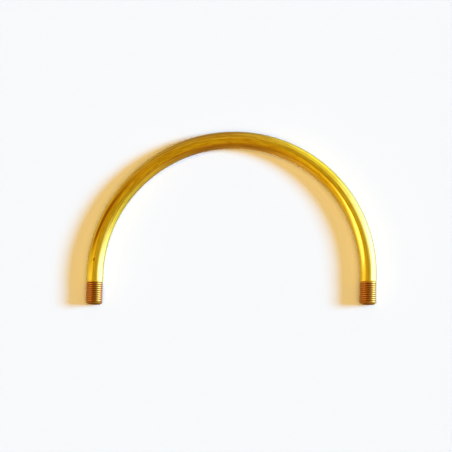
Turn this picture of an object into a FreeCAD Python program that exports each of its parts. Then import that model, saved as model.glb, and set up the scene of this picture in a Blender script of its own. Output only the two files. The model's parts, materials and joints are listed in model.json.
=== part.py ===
import FreeCAD, Part
import os
from FreeCAD import Placement, Rotation, Vector

# Siphon tube: one length of brass tube bent to a half circle, with a short straight leg
# at each end. Both legs are threaded and the bore runs right through. The thread's turns
# are plain rings here, at its true pitch, with no helix.
#
# Frame: millimetres, +Z up. The tube lies flat on Z = 0 with its legs pointing along -Y
# and the top of its arch towards +Y. The origin is under the middle of the part's box.

# Driving dimensions
TUBE_OD = 12.0          # outer diameter of the tube, and the major diameter of its threads
BORE = 8.0              # inner diameter of the tube
BEND_RADIUS = 97.5      # radius of the bend, measured to the middle of the tube
LEG_LENGTH = 20.0       # straight length of each leg, from the end of the bend
END_CHAMFER = 1.0       # 45 degree chamfer that leads a nut on to the thread
BORE_BREAK = 0.3        # 45 degree break at the mouth of the bore
PLAIN_NECK = 4.0        # plain part of each leg, between the bend and the thread
THREAD_PITCH = 1.5      # distance from one turn of the thread to the next
THREAD_DEPTH = 0.7      # depth of the thread's V-shaped groove
CREST_FLAT = 0.45       # width of the crest, at the full diameter, between two turns of the groove

# Sizes and places that follow from them
TUBE_RADIUS = TUBE_OD / 2
BORE_RADIUS = BORE / 2
HALF_LENGTH = (BEND_RADIUS + TUBE_RADIUS + LEG_LENGTH) / 2
BEND_CENTRE = Vector(0, LEG_LENGTH - HALF_LENGTH, TUBE_RADIUS)
BEND_AXIS = Vector(0, 0, 1)
LEG_DIRECTION = Vector(0, -1, 0)
GROOVE_WIDTH = THREAD_PITCH - CREST_FLAT
GROOVES = round((LEG_LENGTH - PLAIN_NECK - END_CHAMFER) / THREAD_PITCH)


def leg_root(side):
    """The middle of the tube where a leg leaves the bend: side is -1 on the left, 1 on the right."""
    return BEND_CENTRE + Vector(side * BEND_RADIUS, 0, 0)


def bend():
    """The half circle: the ring of the tube's wall, turned 180 degrees about the bend's axis."""
    outside = Part.Wire(Part.makeCircle(TUBE_RADIUS, leg_root(1), LEG_DIRECTION))
    inside = Part.Wire(Part.makeCircle(BORE_RADIUS, leg_root(1), LEG_DIRECTION))
    wall = Part.Face([outside, inside])
    return wall.revolve(BEND_CENTRE, BEND_AXIS, 180)


def thread_section():
    """Corners of the thread in half section: each groove and the crest that comes after it."""
    corners = []
    for turn in reversed(range(GROOVES)):
        crest_end = LEG_LENGTH - END_CHAMFER - turn * THREAD_PITCH
        groove_end = crest_end - CREST_FLAT
        corners += [
            Vector(TUBE_RADIUS, 0, groove_end - GROOVE_WIDTH),
            Vector(TUBE_RADIUS - THREAD_DEPTH, 0, groove_end - GROOVE_WIDTH / 2),
            Vector(TUBE_RADIUS, 0, groove_end),
        ]
    return corners


def leg(side):
    """A straight leg: its wall in half section, with both end edges broken, turned once round."""
    section = Part.makePolygon([
        Vector(BORE_RADIUS, 0, 0),
        Vector(TUBE_RADIUS, 0, 0),
        *thread_section(),
        Vector(TUBE_RADIUS, 0, LEG_LENGTH - END_CHAMFER),
        Vector(TUBE_RADIUS - END_CHAMFER, 0, LEG_LENGTH),
        Vector(BORE_RADIUS + BORE_BREAK, 0, LEG_LENGTH),
        Vector(BORE_RADIUS, 0, LEG_LENGTH - BORE_BREAK),
        Vector(BORE_RADIUS, 0, 0),
    ])
    turned = Part.Face(section).revolve(Vector(0, 0, 0), Vector(0, 0, 1), 360)
    turned.Placement = Placement(leg_root(side), Rotation(Vector(0, 0, 1), LEG_DIRECTION))
    return turned


def siphon_tube():
    """The bend and its two legs, as the one solid that they are."""
    whole = bend().fuse([leg(-1), leg(1)])
    return whole.removeSplitter().Solids[0]


os.makedirs("parts", exist_ok=True)
tube = siphon_tube()
tube.exportStep("parts/siphon_tube.step")
print("siphon_tube", "valid" if tube.isValid() else "not valid", round(tube.Volume, 1), "mm3")
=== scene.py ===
import json
import math

import bpy
import numpy as np
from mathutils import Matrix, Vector


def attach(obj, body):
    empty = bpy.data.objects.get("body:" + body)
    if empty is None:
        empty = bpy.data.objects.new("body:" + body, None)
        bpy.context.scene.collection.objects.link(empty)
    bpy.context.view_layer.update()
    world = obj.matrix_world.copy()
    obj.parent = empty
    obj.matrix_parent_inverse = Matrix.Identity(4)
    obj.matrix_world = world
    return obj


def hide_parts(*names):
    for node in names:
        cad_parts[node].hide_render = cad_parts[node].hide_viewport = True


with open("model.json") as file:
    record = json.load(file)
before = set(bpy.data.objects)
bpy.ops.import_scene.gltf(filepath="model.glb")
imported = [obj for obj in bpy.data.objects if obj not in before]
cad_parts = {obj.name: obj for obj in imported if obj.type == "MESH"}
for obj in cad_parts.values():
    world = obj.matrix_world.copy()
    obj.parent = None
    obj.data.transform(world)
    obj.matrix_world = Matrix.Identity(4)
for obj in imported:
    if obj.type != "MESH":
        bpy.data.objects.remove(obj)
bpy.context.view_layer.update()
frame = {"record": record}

# The tube and its bend
# A siphon tube is one length of drawn brass tube. It is bent cold to a half circle round a
# former, and both ends are left straight so that a die can cut a thread on them.
mounts = {mount["name"]: mount for mount in frame["record"]["mounts"]}
left_leg, right_leg = mounts["thread_left"], mounts["thread_right"]
TUBE_RADIUS = left_leg["dims"]["r_mm"] / 1000
BORE_RADIUS = mounts["bore_left"]["dims"]["r_mm"] / 1000
BEND_RADIUS = (right_leg["pos_m"][0] - left_leg["pos_m"][0]) / 2
PLAIN_LEG = left_leg["dims"]["length_mm"] / 1000
BEND_START = left_leg["pos_m"][1] + PLAIN_LEG / 2
LEG_LENGTH = BEND_START - mounts["end_face_left"]["pos_m"][1]
END_CHAMFER = LEG_LENGTH - PLAIN_LEG
BORE_BREAK = LEG_LENGTH - mounts["bore_left"]["dims"]["length_mm"] / 1000
AXIS_HEIGHT = left_leg["pos_m"][2]
TUBE_LENGTH = math.pi * BEND_RADIUS + 2 * LEG_LENGTH
AROUND = 96     # faces round the tube


def tube_points(along, angle, radius):
    """Points of the tube, from the distance along its middle, the angle round it and the radius.

    The middle turns by the distance over the bend's radius, limited to a half turn, and what is
    left of the distance runs straight on. The angle starts at the outside of the bend.
    """
    turn = np.clip((along - LEG_LENGTH) / BEND_RADIUS, 0, math.pi)
    straight = along - LEG_LENGTH - turn * BEND_RADIUS
    reach = BEND_RADIUS + radius * np.cos(angle)
    x = straight * np.sin(turn) - reach * np.cos(turn)
    y = BEND_START + straight * np.cos(turn) + reach * np.sin(turn)
    z = AXIS_HEIGHT + radius * np.sin(angle)
    return np.stack([x, y, z], axis=-1)


# The threads
# Each end carries a right-hand thread with broad crests and a V-shaped groove. The last turn of
# the groove before the plain tube runs out, and a chamfer leads a nut on at the end.
PITCH = 0.0015
THREAD_LENGTH = 0.016
THREAD_DEPTH = 0.0007
CREST_FLAT = 0.00045
RUN_OUT = PITCH             # length over which the last turn fades out
CREST_ROUND = 0.00006       # rounding where a flank meets the crest
ROOT_ROUND = 0.00010        # rounding at the bottom of the groove
ROWS_PER_PITCH = 16


def soft_clip(value, low, high, low_round, high_round):
    """The value held between two limits, with each corner rounded off by a parabola."""
    over = np.clip((value - low + low_round) / (2 * low_round), 0, 1)
    under = np.clip((high - value + high_round) / (2 * high_round), 0, 1)
    raised = np.where(over < 1, low + low_round * over**2, value)
    return np.where(under < 1, high - high_round * under**2, raised)


def groove_depth(along, angle, from_end):
    """How deep the thread is cut, from nothing on a crest to the full depth at a root.

    The nearest crest is found by the distance along less one pitch per turn. From the crest's
    flat the flanks fall straight to the root, and the run-out rises as a cone.
    """
    turns = along / PITCH - angle / (2 * math.pi)
    off_crest = np.abs(turns - np.round(turns)) * PITCH
    flank = (off_crest - CREST_FLAT / 2) / (PITCH - CREST_FLAT) * 2 * THREAD_DEPTH
    depth = soft_clip(flank, 0, THREAD_DEPTH - ROOT_ROUND / 2, CREST_ROUND, ROOT_ROUND)
    allowed = THREAD_DEPTH * np.clip((THREAD_LENGTH - from_end) / RUN_OUT, 0, 1)
    return np.minimum(depth, allowed)


def thread_grid(start, end_at_start):
    """A grid over one thread whose rows follow the helix, cut off square at both ends."""
    turns = int(math.ceil(THREAD_LENGTH / PITCH)) + 1
    row, column = np.mgrid[0:turns * ROWS_PER_PITCH + 1, 0:AROUND + 1]
    angle = 2 * math.pi * column / AROUND
    lead = PITCH * (row / ROWS_PER_PITCH + column / AROUND - 1)
    along = start + np.clip(lead, 0, THREAD_LENGTH)
    from_end = along - start if end_at_start else start + THREAD_LENGTH - along
    radius = TUBE_RADIUS - groove_depth(along, angle, from_end)
    chamfer = TUBE_RADIUS - END_CHAMFER + from_end
    return along, angle, np.minimum(radius, chamfer)


def plain_grid(profile):
    """A grid turned round the tube from a profile: a list of distances along and radii."""
    profile = np.asarray(profile, float)
    angle = np.linspace(0, 2 * math.pi, AROUND + 1)
    along = np.repeat(profile[:, :1], AROUND + 1, axis=1)
    radius = np.repeat(profile[:, 1:], AROUND + 1, axis=1)
    return along, np.broadcast_to(angle, along.shape), radius


def straight_run(first, last, radius, step):
    """A profile at one radius, with rows about a step apart."""
    rows = int(math.ceil(abs(last - first) / step)) + 1
    return [(along, radius) for along in np.linspace(first, last, rows)]


# The wall, the ends and the bore
# Each end is cut off square, and a narrow flat ring is left between the chamfer and the mouth of
# the bore. The wall, the threads, the ends and the bore are one closed skin.
RIGHT_THREAD = TUBE_LENGTH - THREAD_LENGTH
END_RADIUS = TUBE_RADIUS - END_CHAMFER
ARCH_STEP = 0.0015
BORE_STEP = 0.003
CORNER = 0.00005            # a row this close to each edge keeps the faces beside it evenly shaded
WELD = 1e-7                 # points closer than this are one


def mesh_of_grids(name, grids):
    """One mesh from grids that share their edges: their points are welded by their place.

    A face whose corners run together there loses one, or is left out. Each point keeps its place
    on the straight tube, before it was bent, for the finish to follow.
    """
    points, faces, count = [], [], 0
    for along, angle, radius in grids:
        rows, columns = along.shape
        points.append(np.stack([along, angle, radius], axis=-1).reshape(-1, 3))
        corner = count + np.arange(rows * columns).reshape(rows, columns)
        faces.append(np.stack([
            corner[:-1, :-1], corner[:-1, 1:], corner[1:, 1:], corner[1:, :-1],
        ], axis=-1).reshape(-1, 4))
        count += rows * columns
    along, angle, radius = np.concatenate(points).T
    places = tube_points(along, angle, radius)
    _, first, welded = np.unique(
        np.round(places / WELD).astype(np.int64), axis=0, return_index=True, return_inverse=True
    )
    faces = welded.reshape(-1)[np.concatenate(faces)]
    doubled = faces == np.roll(faces, -1, axis=1)
    doubles = doubled.sum(axis=1)
    squares = faces[doubles == 0]
    triangles = faces[doubles == 1][~doubled[doubles == 1]].reshape(-1, 3)
    mesh = bpy.data.meshes.new(name)
    mesh.from_pydata(places[first].tolist(), [], squares.tolist() + triangles.tolist())
    mesh.shade_smooth()
    unbent = np.stack([along, radius * np.cos(angle), radius * np.sin(angle)], axis=-1)[first]
    mesh.attributes.new("unbent", "FLOAT_VECTOR", "POINT").data.foreach_set("vector", unbent.ravel())
    return mesh


left_end = [
    (BORE_BREAK, BORE_RADIUS),
    (BORE_BREAK - CORNER, BORE_RADIUS + CORNER),
    (CORNER, BORE_RADIUS + BORE_BREAK - CORNER),
    (0, BORE_RADIUS + BORE_BREAK),
    (0, BORE_RADIUS + BORE_BREAK + CORNER),
    (0, END_RADIUS - CORNER),
    (0, END_RADIUS),
]
right_end = [(TUBE_LENGTH - along, radius) for along, radius in reversed(left_end)]
wall = [
    (THREAD_LENGTH, TUBE_RADIUS),
    *straight_run(THREAD_LENGTH + CORNER, RIGHT_THREAD - CORNER, TUBE_RADIUS, ARCH_STEP),
    (RIGHT_THREAD, TUBE_RADIUS),
]
bore = [
    (TUBE_LENGTH - BORE_BREAK, BORE_RADIUS),
    *straight_run(TUBE_LENGTH - BORE_BREAK - CORNER, BORE_BREAK + CORNER, BORE_RADIUS, BORE_STEP),
    (BORE_BREAK, BORE_RADIUS),
]
tube_mesh = mesh_of_grids("brass_tube", [
    plain_grid(left_end),
    thread_grid(0, True),
    plain_grid(wall),
    thread_grid(RIGHT_THREAD, False),
    plain_grid(right_end),
    plain_grid(bore),
])
tube = bpy.data.objects.new("brass_tube", tube_mesh)
bpy.context.scene.collection.objects.link(tube)


# The finish
# The brass is bare. Drawing left fine lines along it, and age has tarnished it in streaks. The
# threads are brown, with painted highlight and painted shade on them. The bore is dark, as drawn.
CLEAN_BRASS = (0.88, 0.61, 0.09, 1)
AMBER_TARNISH = (0.68, 0.34, 0.02, 1)
GREEN_TARNISH = (0.60, 0.42, 0.03, 1)
OLIVE_FLANK_SHADE = (0.32, 0.16, 0.02, 1)
STAIN_BROWN = (0.42, 0.20, 0.01, 1)
LINE_BROWN = (0.36, 0.10, 0.004, 1)
THREAD_BROWN = (0.74, 0.26, 0.07, 1)
ROOT_BROWN = (0.38, 0.115, 0.02, 1)
THREAD_BRASS = (0.90, 0.60, 0.09, 1)
ROOT_BRASS = (0.40, 0.22, 0.03, 1)
THREAD_DARK = (0.36, 0.15, 0.015, 1)
BORE_BROWN = (0.30, 0.17, 0.05, 1)


class Wire:
    """An output socket. Each operator adds the Math node that works it out."""

    def __init__(self, tree, socket=None):
        self.tree = tree
        self.socket = socket

    def node(self, kind, settings, inputs, out=0):
        """Any node: its type, its settings, the values or wires of its sockets, and its output."""
        made = self.tree.nodes.new(kind)
        for name, value in settings.items():
            setattr(made, name, value)
        for place, value in inputs.items():
            if isinstance(value, Wire):
                self.tree.links.new(value.socket, made.inputs[place])
            else:
                made.inputs[place].default_value = value
        return Wire(self.tree, made.outputs[out])

    def math(self, operation, *values):
        """A Math node: its operation, and the values or wires that it takes."""
        return self.node("ShaderNodeMath", {"operation": operation}, dict(enumerate(values)))

    def vector(self, operation, *values, out=0):
        """A Vector Math node: its operation, what it takes, and its output."""
        settings = {"operation": operation}
        return self.node("ShaderNodeVectorMath", settings, dict(enumerate(values)), out)

    def part(self, axis):
        """One of a vector's three numbers: X, Y or Z."""
        return self.node("ShaderNodeSeparateXYZ", {}, {0: self}, axis)

    def rise(self, start, end):
        """Nothing below the start, 1 above the end, and a smooth slope between them."""
        settings = {"interpolation_type": "SMOOTHSTEP"}
        return self.node("ShaderNodeMapRange", settings, {0: self, 1: start, 2: end})

    def between(self, comes_in, goes_out):
        """1 between two slopes, each given by its start and end, and nothing outside them."""
        return self.rise(*comes_in) * (1 - self.rise(*goes_out))

    def size(self):
        """The number without its sign."""
        return self.math("ABSOLUTE", self)

    def near(self, start, end):
        """1 where the size is below the start, nothing above the end, and a slope between them."""
        return 1 - self.size().rise(start, end)

    def blend(self, low, high):
        """One colour where this is 0 and the other where it is 1."""
        return self.node("ShaderNodeMix", {"data_type": "RGBA"}, {0: self, 6: low, 7: high}, 2)

    def __add__(self, other):
        return self.math("ADD", self, other)

    def __sub__(self, other):
        return self.math("SUBTRACT", self, other)

    def __rsub__(self, other):
        return self.math("SUBTRACT", other, self)

    def __mul__(self, other):
        return self.math("MULTIPLY", self, other)

    __radd__ = __add__
    __rmul__ = __mul__


brass = bpy.data.materials.new("drawn_brass")
brass.use_nodes = True
wires = Wire(brass.node_tree)
shader = brass.node_tree.nodes["Principled BSDF"]
unbent = wires.node("ShaderNodeAttribute", {"attribute_name": "unbent"}, {}, "Vector")
along = unbent.part("X")
outward = unbent.part("Y")
upward = unbent.part("Z")
from_end = along.math("MINIMUM", along, TUBE_LENGTH - along)
across = unbent.vector("MULTIPLY", unbent, (0, 1, 1))
radius = across.vector("LENGTH", across, out="Value")


def streaks(length, width, detail, shift):
    """Noise drawn out along the tube: marks of one length and one width, in metres.

    The detail breaks them up more finely, and the shift is their place in the noise.
    """
    stretched = unbent.vector("MULTIPLY", unbent, (1 / length, 1 / width, 1 / width))
    moved = unbent.vector("ADD", stretched, (shift, shift, shift))
    return unbent.node("ShaderNodeTexNoise", {}, {"Vector": moved, "Scale": 1, "Detail": detail})


def marks(length, width, detail, shift, start, full):
    """Streaks cut off at one level of the noise, and at their full strength at another."""
    return streaks(length, width, detail, shift).rise(start, full)


# Streaks of amber tarnish, broad blotches and fine brown stains lie on the whole tube, with more
# of them over the arch, where there is green tarnish too. Each kind of mark has its length, its
# width, how finely it is broken up and its place in the noise, and then the level of the noise
# where it starts and where it is full.
DRAW_LINES = (0.030, 0.00035, 3, 0.0)
TARNISH = (0.040, 0.0010, 2, 7.3, 0.44, 0.63)
GREENING = (0.050, 0.0014, 2, 5.9, 0.45, 0.70)
BLOTCHES = (0.018, 0.006, 3, 3.1, 0.5, 0.8)
STAINS = (0.006, 0.0012, 3, 8.8, 0.45, 0.65)
OVER_THE_ARCH = ((0.020, 0.080), (0.240, 0.320))
TARNISH_STRENGTH = 0.15
TARNISH_MORE = 0.45
BLOTCH_STRENGTH = 0.25
GREENING_MORE = 0.8
STAIN_STRENGTH = 0.13
STAIN_MORE = 0.19
draw_lines = streaks(*DRAW_LINES)
arch = along.between(*OVER_THE_ARCH)
tarnish = marks(*TARNISH) * (TARNISH_STRENGTH + TARNISH_MORE * arch)
tarnish = tarnish + marks(*BLOTCHES) * BLOTCH_STRENGTH
greening = marks(*GREENING) * arch * GREENING_MORE
stains = marks(*STAINS) * (STAIN_STRENGTH + STAIN_MORE * arch)
colour = tarnish.blend(CLEAN_BRASS, AMBER_TARNISH)
colour = greening.blend(colour, GREEN_TARNISH)

# The bend's flanks are darkened with olive painted shade in clouds, deepest at the top of the arch,
# which darkens the tube's outline there.
CLOUDS = (0.030, 0.0020, 2, 1.7, 0.35, 0.65)
TOP_OF_THE_ARCH = ((0.080, 0.150), (0.180, 0.240))
FLANK = (0.35 * TUBE_RADIUS, 0.85 * TUBE_RADIUS)
FLANK_SHADE_THIN = 0.65          # what is left of the painted shade between its clouds
flank_shade = outward.size().rise(*FLANK) * along.between(*TOP_OF_THE_ARCH)
flank_shade = flank_shade * (FLANK_SHADE_THIN + (1 - FLANK_SHADE_THIN) * marks(*CLOUDS))
# The flanks take the olive painted shade.
colour = flank_shade.blend(colour, OLIVE_FLANK_SHADE)
colour = stains.blend(colour, STAIN_BROWN)

# A dark brown line along the upper side of the left arch is a painted reflection of a dark place low
# on the room's left; it drifts across the tube as the bend turns. A small brown spot lies beside its
# start.
UPPER_SIDE = (0.0, 0.0010)
LINE_REACH = ((0.030, 0.050), (0.065, 0.110))
LINE_EDGE = (0.0004, 0.0016)
LINE_OUT = 0.0043           # how far outside the middle of the tube the line would start
LINE_SLANT = 0.035          # how much of that it loses for each metre along
LINE_BENDS = (0.040, 0.020, 1, 4.4)
LINE_WANDER = 0.0010
LINE_STRENGTH = 0.95
SPOT = (0.031, 0.0004, 0)
SPOT_SHAPE = (0.5, 1, 0)    # twice as long as it is wide
SPOT_EDGE = (0.0003, 0.0009)
SPOT_STRENGTH = 0.85
wander = (streaks(*LINE_BENDS) - 0.5) * LINE_WANDER
off_line = outward + wander + along * LINE_SLANT - LINE_OUT
# The dark line is a painted reflection.
line = off_line.near(*LINE_EDGE) * along.between(*LINE_REACH) * upward.rise(*UPPER_SIDE)
colour = (line * LINE_STRENGTH).blend(colour, LINE_BROWN)
off_spot = unbent.vector("SUBTRACT", unbent, SPOT)
off_spot = unbent.vector("MULTIPLY", off_spot, SPOT_SHAPE)
spot = unbent.vector("LENGTH", off_spot, out="Value").near(*SPOT_EDGE)
colour = (spot * upward.rise(*UPPER_SIDE) * SPOT_STRENGTH).blend(colour, LINE_BROWN)

# The threads are brown. A band of bright brass on the side that faces right is a painted highlight
# of the light from the right. A dark line along their top, just right of the middle, is a painted
# reflection of the dark space overhead, and their left side is darkened with painted shade. The
# side that faces right is the inside of the bend on the left leg and the outside on the right one.
# Places on them are measured to the left of the tube's middle.
RIGHT_HALF = (0.16, 0.18)
RIGHT_LEG_SHIFT = 0.0007    # how far the same marks lie to the right on the right leg
HIGHLIGHT_BAND = ((-0.0055, -0.0044), (-0.0033, -0.0019))
DARK_MIDDLE = -0.0014
DARK_EDGE = (0.0007, 0.0030)
DARK_STRENGTH = 0.75
LEFT_SIDE = (0.0015, 0.0050)
LEFT_STRENGTH = 0.4
GROOVE_DARK = 0.6 * THREAD_DEPTH    # depth from which the groove has the colour of its root
THREAD_STRENGTH = 0.95
threaded = 1 - from_end.rise(THREAD_LENGTH - RUN_OUT, THREAD_LENGTH)
groove = (TUBE_RADIUS - radius).rise(0.0, GROOVE_DARK)
on_right_leg = along.rise(*RIGHT_HALF)
leftward = outward * (1 - 2 * on_right_leg) + on_right_leg * RIGHT_LEG_SHIFT
# The bright band is a painted highlight; elsewhere the threads are brown.
off_highlight = 1 - leftward.between(*HIGHLIGHT_BAND)
crest = off_highlight.blend(THREAD_BRASS, THREAD_BROWN)
root = off_highlight.blend(ROOT_BRASS, ROOT_BROWN)
# A painted dark reflection in a line just right of the middle, and painted shade on the left side.
dark = (leftward - DARK_MIDDLE).near(*DARK_EDGE) * DARK_STRENGTH
dark = dark + leftward.rise(*LEFT_SIDE) * LEFT_STRENGTH
thread_colour = dark.blend(groove.blend(crest, root), THREAD_DARK)
colour = (threaded * THREAD_STRENGTH).blend(colour, thread_colour)
inside = 1 - radius.rise(BORE_RADIUS + BORE_BREAK / 2, BORE_RADIUS + BORE_BREAK)
colour = inside.blend(colour, BORE_BROWN)

# The brass is smooth and glossy where it is clean, and duller at the marks that the draw left,
# under the painted shade on the flanks, on the threads and in the bore.
SMOOTH = 0.10
DULL_LINES = 0.08
DULL_FLANKS = 0.12
DULL_THREADS = 0.12
DULL_BORE = 0.2
LINE_DEPTH = 0.000003
roughness = draw_lines * DULL_LINES + inside * DULL_BORE + threaded * DULL_THREADS
roughness = roughness + flank_shade * DULL_FLANKS + SMOOTH
bump = wires.node("ShaderNodeBump", {}, {
    "Strength": 1.0, "Distance": LINE_DEPTH, "Height": draw_lines,
}, "Normal")
wires.tree.links.new(colour.socket, shader.inputs["Base Color"])
wires.tree.links.new(roughness.socket, shader.inputs["Roughness"])
wires.tree.links.new(bump.socket, shader.inputs["Normal"])
shader.inputs["Metallic"].default_value = 1
tube_mesh.materials.append(brass)
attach(tube, "root")
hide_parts("siphon_tube")

# The floor
# A plain pale floor that the tube lies on. The brass reflects the floor of the room that is drawn
# in the world, in place of this one.
FLOOR_REACH = 6
FLOOR_COLOUR = (0.85, 0.85, 0.85, 1)
FLOOR_ROUGHNESS = 0.9
floor_mesh = bpy.data.meshes.new("floor")
floor_mesh.from_pydata([
    (-FLOOR_REACH, -FLOOR_REACH, 0), (FLOOR_REACH, -FLOOR_REACH, 0),
    (FLOOR_REACH, FLOOR_REACH, 0), (-FLOOR_REACH, FLOOR_REACH, 0),
], [], [(0, 1, 2, 3)])
floor = bpy.data.objects.new("floor", floor_mesh)
bpy.context.scene.collection.objects.link(floor)
pale = bpy.data.materials.new("pale_floor")
pale.use_nodes = True
floor_shader = pale.node_tree.nodes["Principled BSDF"]
floor_shader.inputs["Base Color"].default_value = FLOOR_COLOUR
floor_shader.inputs["Roughness"].default_value = FLOOR_ROUGHNESS
floor_mesh.materials.append(pale)
floor.visible_glossy = False

# The light
# Cool daylight comes in low from the right, and warm light from overhead. On the floor the two
# together are white, so the shadow, which only the warm light reaches, is golden.
KEY_AZIMUTH = math.radians(3)
KEY_ELEVATION = math.radians(28)
KEY_SPREAD = math.radians(16)
KEY_COLOUR = (0.18, 0.535, 1.0)
KEY_STRENGTH = 6.2
key = bpy.data.lights.new("key", "SUN")
key.energy = KEY_STRENGTH
key.color = KEY_COLOUR
key.angle = KEY_SPREAD
key_lamp = bpy.data.objects.new("key", key)
key_lamp.rotation_euler = (0, math.pi / 2 - KEY_ELEVATION, KEY_AZIMUTH)
key_lamp.visible_glossy = False
bpy.context.scene.collection.objects.link(key_lamp)

WARM = (5.80, 3.90, 1.39)
OVERHEAD = (0.156, -0.159, 0.975)   # the direction that the warm light comes from
WARM_SPREAD = (0.85, 1.0)           # cosines of the angles from it where it starts and is full
WARM_AROUND = 0.025                 # its strength from everywhere else

# The brass reflects a room, which is drawn in the world: its plain light, and then each light in
# it. A light has its colour, the middle of its reach round the horizon, half that reach and how
# softly it ends, in degrees, and between which heights it comes in and goes out. A colour below
# nothing makes the room darker there.
ROOM = (0.41, 0.30, 0.056)
LIGHTS = [
    ((1.90, 3.00, 9.50), 18, 25, 34, (-0.75, -0.35), (0.04, 0.93)),         # window
    ((0.32, 0.42, 0.80), 40, 14, 20, (0.30, 0.50), (0.80, 0.97)),           # its far corner
    ((0.35, 0.46, 0.24), 33, 60, 27, (-2.00, -1.10), (0.50, 0.94)),         # glow beside it
    ((0.42, 0.54, 0.24), 62, 12, 16, (-0.55, 0.05), (0.62, 0.86)),          # curtain, far side
    ((0.10, 0.20, 0.15), -40, 25, 30, (-0.50, 0.00), (0.30, 0.75)),         # curtain, near side
    ((0.11, 0.21, 0.18), -1, 79, 12, (-2.00, -1.10), (0.27, 0.41)),         # low light round it
    ((-0.16, -0.04, -0.01), 57, 36, 20, (0.84, 0.90), (1.00, 1.40)),        # dark beam over it
    ((0.90, 1.70, 2.70), 183, 10, 14, (-0.25, 0.95), (0.82, 0.935)),        # lamp on the left
    ((0.98, 0.79, 0.03), 185, 20, 80, (-0.64, 0.56), (0.90, 0.975)),        # wall under it
    ((-0.22, -0.29, -0.17), 137, 12, 20, (0.56, 1.03), (1.00, 1.40)),       # dark corner
    ((0.39, 0.33, 0.00), 0, 180, 8, (0.48, 1.36), (1.40, 1.50)),            # ceiling
    ((0.15, 0.12, 0.11), 113, 36, 39, (-2.00, -1.10), (1.10, 1.20)),        # far side
    ((0.23, 0.07, 0.00), -94, 53, 44, (-2.00, -1.10), (0.39, 1.14)),        # near side
    ((0.16, 0.20, 0.22), 0, 180, 8, (-2.00, -1.10), (0.07, 0.14)),          # floor
    ((-0.25, -0.17, -0.02), 0, 180, 8, (-2.00, -1.10), (-0.85, -0.45)),     # shade on it
    ((0.30, 0.09, -0.12), 180, 75, 30, (-2.00, -1.10), (-0.75, -0.30)),     # golden shadow on it
]
BACKDROP = (0.94, 0.94, 0.94, 1)
world = bpy.data.worlds.new("studio")
world.use_nodes = True
sky = Wire(world.node_tree)
towards = sky.node("ShaderNodeTexCoord", {}, {}, "Generated")
east = towards.part("X")
north = towards.part("Y")
height = towards.part("Z")


def reach(centre, half_width, fade, comes_in, goes_out):
    """1 where a light is: the angle from its middle is small and the height is in its range."""
    ahead = east * math.cos(math.radians(centre)) + north * math.sin(math.radians(centre))
    aside = north * math.cos(math.radians(centre)) - east * math.sin(math.radians(centre))
    turned = sky.math("ARCTAN2", aside, ahead)
    wide = turned.near(math.radians(half_width - fade / 2), math.radians(half_width + fade / 2))
    return wide * height.between(comes_in, goes_out)


def scaled(colour, amount):
    """A colour times an amount."""
    return sky.node("ShaderNodeVectorMath", {"operation": "SCALE"}, {0: colour, 3: amount})


def seen_by(ray):
    """1 for one kind of ray, and nothing for the others."""
    return sky.node("ShaderNodeLightPath", {}, {}, ray)


reflected = ROOM
for hue, *place in LIGHTS:
    reflected = sky.vector("ADD", reflected, scaled(hue, reach(*place)))
overhead = sky.vector("DOT_PRODUCT", towards, OVERHEAD, out="Value").rise(*WARM_SPREAD)
warm = scaled(WARM, WARM_AROUND + (1 - WARM_AROUND) * overhead)
light = seen_by("Is Diffuse Ray").blend(reflected, warm)
light = seen_by("Is Camera Ray").blend(light, BACKDROP)
world.node_tree.links.new(light.socket, world.node_tree.nodes["Background"].inputs["Color"])
# Sampled as a lamp, the world would light the floor with the room's window too.
world.cycles.sampling_method = "NONE"
bpy.context.scene.world = world

# The camera
# The photo was taken from above, about 13 degrees off the vertical, from a little right of the
# tube and below its legs.
CAMERA_DISTANCE = 2.0
VIEW_WIDTH = 0.3197         # width of the picture at the tube
SENSOR_WIDTH = 36           # of the camera, in millimetres
TILT_X = math.radians(9.24)
TILT_Y = math.radians(8.97)
ROLL = math.radians(-0.19)
AIM = (-0.0039, -0.0061, AXIS_HEIGHT)
camera = bpy.data.cameras.new("camera")
camera.sensor_width = SENSOR_WIDTH
camera.lens = SENSOR_WIDTH * CAMERA_DISTANCE / VIEW_WIDTH
camera_object = bpy.data.objects.new("camera", camera)
camera_object.rotation_mode = "YXZ"
camera_object.rotation_euler = (TILT_X, TILT_Y, ROLL)
back = camera_object.rotation_euler.to_matrix() @ Vector((0, 0, 1))
camera_object.location = [aim + CAMERA_DISTANCE * away for aim, away in zip(AIM, back)]
bpy.context.scene.collection.objects.link(camera_object)
bpy.context.scene.camera = camera_object
bpy.context.scene.view_settings.view_transform = "Standard"
